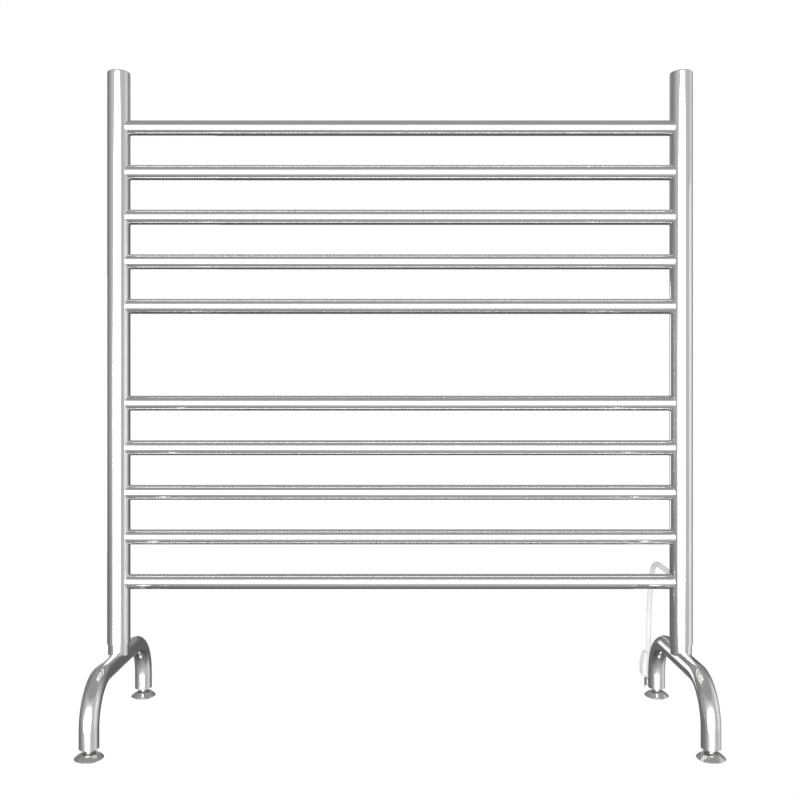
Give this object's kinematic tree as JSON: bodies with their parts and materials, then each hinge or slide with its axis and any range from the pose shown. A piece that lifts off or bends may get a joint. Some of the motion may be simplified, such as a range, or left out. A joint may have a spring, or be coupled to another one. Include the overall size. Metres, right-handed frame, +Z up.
{
  "type": "free-standing electric towel warmer rack",
  "caption": "Free-standing electric towel warmer: round steel posts with two banks of cross bars on arched legs with levelling feet, a rear rocker switch and a corded plug.",
  "frame": {"origin": "on the floor, in the middle of the four feet", "axes": "+X along the bars towards the post with the cord, +Y to the back, +Z up"},
  "size_m": [0.838, 0.3313, 0.93],
  "materials": {
    "polished_steel": "polished",
    "foot_steel": "polished",
    "insert_steel": "satin",
    "screw_steel": "satin",
    "sole_pad": "matte",
    "white_cord": "satin",
    "white_moulding": "satin",
    "plug_metal": "satin",
    "switch_plastic": "satin",
    "brass_parts": "satin",
    "heater_jacket": "matte",
    "splice_nylon": "satin",
    "live_insulation": "satin",
    "neutral_insulation": "satin",
    "earth_insulation": "satin",
    "cutout_case": "matte"
  },
  "bodies": {
    "rack": {"post_left": "polished_steel", "post_right": "polished_steel", "post_cap_left": "polished_steel", "post_cap_right": "polished_steel", "leg_left": "polished_steel", "leg_right": "polished_steel", "leg_spigot_left": "polished_steel", "leg_spigot_right": "polished_steel", "bar_01": "polished_steel", "bar_02": "polished_steel", "bar_03": "polished_steel", "bar_04": "polished_steel", "bar_05": "polished_steel", "bar_06": "polished_steel", "bar_07": "polished_steel", "bar_08": "polished_steel", "bar_09": "polished_steel", "bar_10": "polished_steel", "tube_insert_front_left": "insert_steel", "tube_insert_front_right": "insert_steel", "tube_insert_rear_left": "insert_steel", "tube_insert_rear_right": "insert_steel", "leg_screws": "screw_steel", "cord_gland": "white_moulding", "power_cord": "white_cord", "plug_body": "white_moulding", "plug_blades": "plug_metal", "plug_ground_pin": "plug_metal", "switch_housing": "switch_plastic", "switch_terminals": "brass_parts", "heating_cable": "heater_jacket", "splice_caps": "splice_nylon", "live_lead": "live_insulation", "switched_lead": "live_insulation", "neutral_lead": "neutral_insulation", "earth_lead": "earth_insulation", "earth_terminal": "brass_parts", "earth_screw": "screw_steel", "earth_nut": "brass_parts", "thermal_cutout": "cutout_case"},
    "sole_front_left": {"foot_sole_front_left": "sole_pad"},
    "sole_front_right": {"foot_sole_front_right": "sole_pad"},
    "sole_rear_left": {"foot_sole_rear_left": "sole_pad"},
    "sole_rear_right": {"foot_sole_rear_right": "sole_pad"},
    "foot_front_left": {"levelling_foot_front_left": "foot_steel"},
    "foot_front_right": {"levelling_foot_front_right": "foot_steel"},
    "foot_rear_left": {"levelling_foot_rear_left": "foot_steel"},
    "foot_rear_right": {"levelling_foot_rear_right": "foot_steel"},
    "rocker": {"switch_rocker": "switch_plastic"}
  },
  "joints": [
    {"name": "foot_front_left_slide", "type": "slide", "parent": "rack", "child": "sole_front_left", "axis": [0, 0, -1], "range_m": [0, 0.01]},
    {"name": "foot_front_left_turn", "type": "hinge", "parent": "sole_front_left", "child": "foot_front_left", "pos_m": [-0.4005, -0.126, 0], "axis": [0, 0, -1], "range_deg": [0, 2880]},
    {"name": "foot_front_right_slide", "type": "slide", "parent": "rack", "child": "sole_front_right", "axis": [0, 0, -1], "range_m": [0, 0.01]},
    {"name": "foot_front_right_turn", "type": "hinge", "parent": "sole_front_right", "child": "foot_front_right", "pos_m": [0.4005, -0.126, 0], "axis": [0, 0, -1], "range_deg": [0, 2880]},
    {"name": "foot_rear_left_slide", "type": "slide", "parent": "rack", "child": "sole_rear_left", "axis": [0, 0, -1], "range_m": [0, 0.01]},
    {"name": "foot_rear_left_turn", "type": "hinge", "parent": "sole_rear_left", "child": "foot_rear_left", "pos_m": [-0.4005, 0.126, 0], "axis": [0, 0, -1], "range_deg": [0, 2880]},
    {"name": "foot_rear_right_slide", "type": "slide", "parent": "rack", "child": "sole_rear_right", "axis": [0, 0, -1], "range_m": [0, 0.01]},
    {"name": "foot_rear_right_turn", "type": "hinge", "parent": "sole_rear_right", "child": "foot_rear_right", "pos_m": [0.4005, 0.126, 0], "axis": [0, 0, -1], "range_deg": [0, 2880]},
    {"name": "switch_rock", "type": "hinge", "parent": "rack", "child": "rocker", "pos_m": [0.4005, 0.0162, 0.23705], "axis": [1, 0, 0], "range_deg": [0, 14]}
  ],
  "couplings": [
    {"joint": "foot_front_left_slide", "follows": "foot_front_left_turn", "m_per_rad": 0.00019894},
    {"joint": "foot_front_right_slide", "follows": "foot_front_right_turn", "m_per_rad": 0.00019894},
    {"joint": "foot_rear_left_slide", "follows": "foot_rear_left_turn", "m_per_rad": 0.00019894},
    {"joint": "foot_rear_right_slide", "follows": "foot_rear_right_turn", "m_per_rad": 0.00019894}
  ]
}
